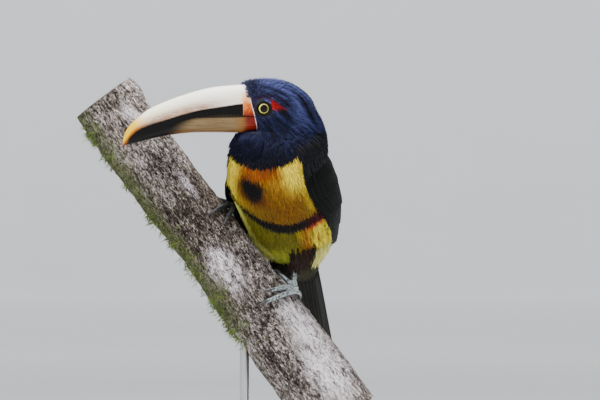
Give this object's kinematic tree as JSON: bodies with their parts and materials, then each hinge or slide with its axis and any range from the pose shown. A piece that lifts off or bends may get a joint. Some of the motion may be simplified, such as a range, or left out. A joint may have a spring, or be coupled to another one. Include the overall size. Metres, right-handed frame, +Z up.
{
  "type": "pale-mandibled aracari model",
  "caption": "Life-size still model of a small toucan gripping a cut length of sloping branch, its long hooked bill turned to one side, held up by two rods on a flat stand.",
  "frame": {"origin": "middle of the underside of the stand's base", "axes": "+Z up; -Y towards whoever faces the bird; the bill points to -X, and the branch runs from high at -X to low at +X"},
  "size_m": [0.2733, 0.1619, 0.3505],
  "materials": {
    "hood_black": "fine glossy blue-black feathers",
    "breast_yellow": "soft yellow and orange feathers",
    "wing_black": "smooth black-green flight feathers",
    "thigh_brown": "soft dark brown feathers",
    "bill_ivory": "smooth horn, half glossy",
    "eye_yellow": "wet and glossy",
    "foot_grey": "scaled skin",
    "claw_black": "dark horn",
    "bark": "rough fibrous bark with lichen",
    "base_wood": "dark stained and oiled",
    "rod_steel": "brushed"
  },
  "bodies": {
    "root": {"head": "hood_black", "neck": "hood_black", "trunk": "breast_yellow", "wing_left": "wing_black", "wing_right": "wing_black", "tail": "wing_black", "thigh_left": "thigh_brown", "thigh_right": "thigh_brown", "tarsus_left": "foot_grey", "tarsus_right": "foot_grey", "foot_left": "foot_grey", "foot_right": "foot_grey", "claw_left_inner_front": "claw_black", "claw_left_outer_front": "claw_black", "claw_left_hallux": "claw_black", "claw_left_outer_back": "claw_black", "claw_right_inner_front": "claw_black", "claw_right_outer_front": "claw_black", "claw_right_hallux": "claw_black", "claw_right_outer_back": "claw_black", "bill_upper": "bill_ivory", "bill_lower": "bill_ivory", "eye_left": "eye_yellow", "eye_right": "eye_yellow", "perch": "bark", "stand_base": "base_wood", "stand_rod_high": "rod_steel", "stand_rod_low": "rod_steel"}
  },
  "joints": []
}
